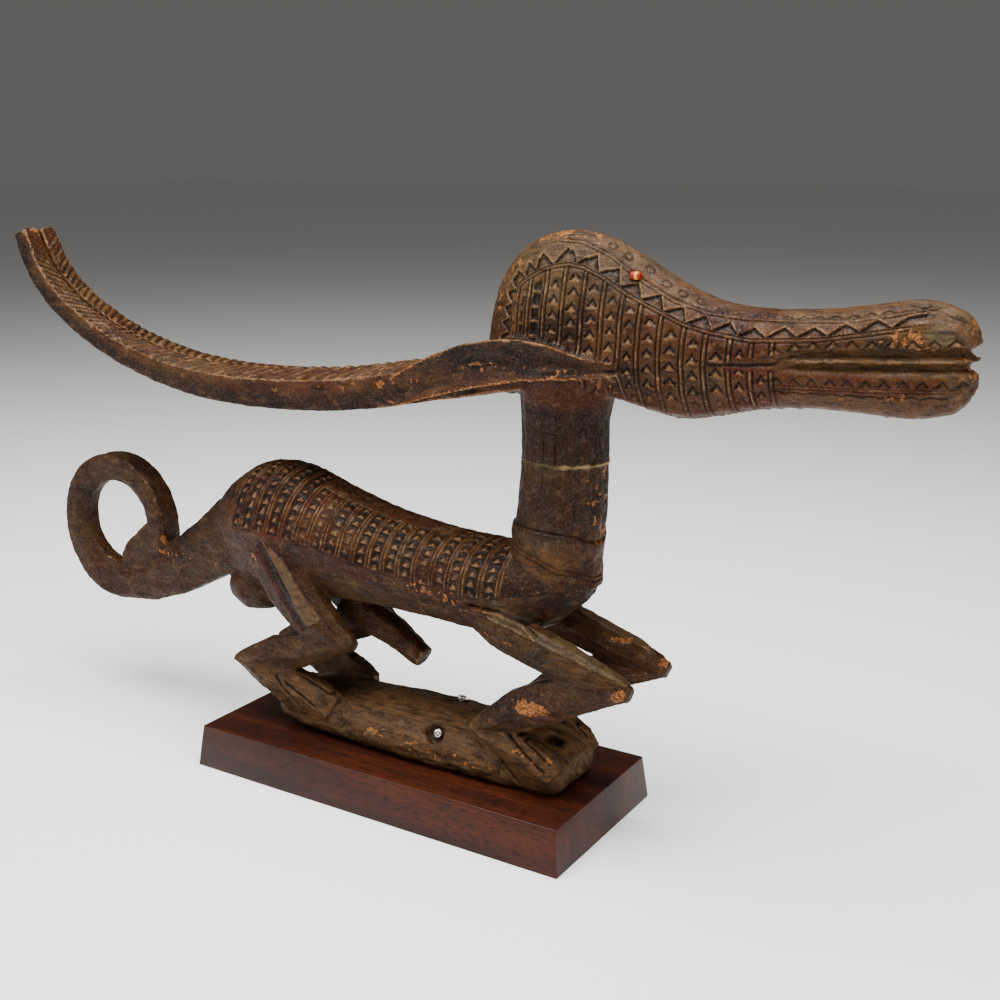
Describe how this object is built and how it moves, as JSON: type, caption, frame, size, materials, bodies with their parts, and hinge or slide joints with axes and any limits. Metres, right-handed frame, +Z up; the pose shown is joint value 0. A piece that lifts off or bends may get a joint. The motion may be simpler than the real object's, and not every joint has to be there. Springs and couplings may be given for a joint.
{
  "type": "chiwara headdress",
  "caption": "Carved wooden antelope headdress crouching on a log base, with a ring tail, a long beaked head and swept-back ridged horns, screwed to a battered polished plinth.",
  "frame": {"origin": "centre of the plinth's underside, on the surface that the object stands on", "axes": "+X towards the snout, +Z up, +Y to the animal's left, away from the side with the bead"},
  "size_m": [0.7528, 0.1344, 0.4046],
  "materials": {
    "plinth_wood": "polished dark red-brown mahogany",
    "carved_wood": "dark hand-rubbed patina, worn orange at the edges, dusty in the cuts",
    "screw_steel": "bright, slightly scuffed",
    "bead_glass": "opaque red glass with a pale yellow band"
  },
  "bodies": {
    "root": {"plinth": "plinth_wood", "body_carving": "carved_wood", "head_carving": "carved_wood", "top_screw": "screw_steel", "side_screw": "screw_steel", "bead": "bead_glass"}
  },
  "joints": []
}
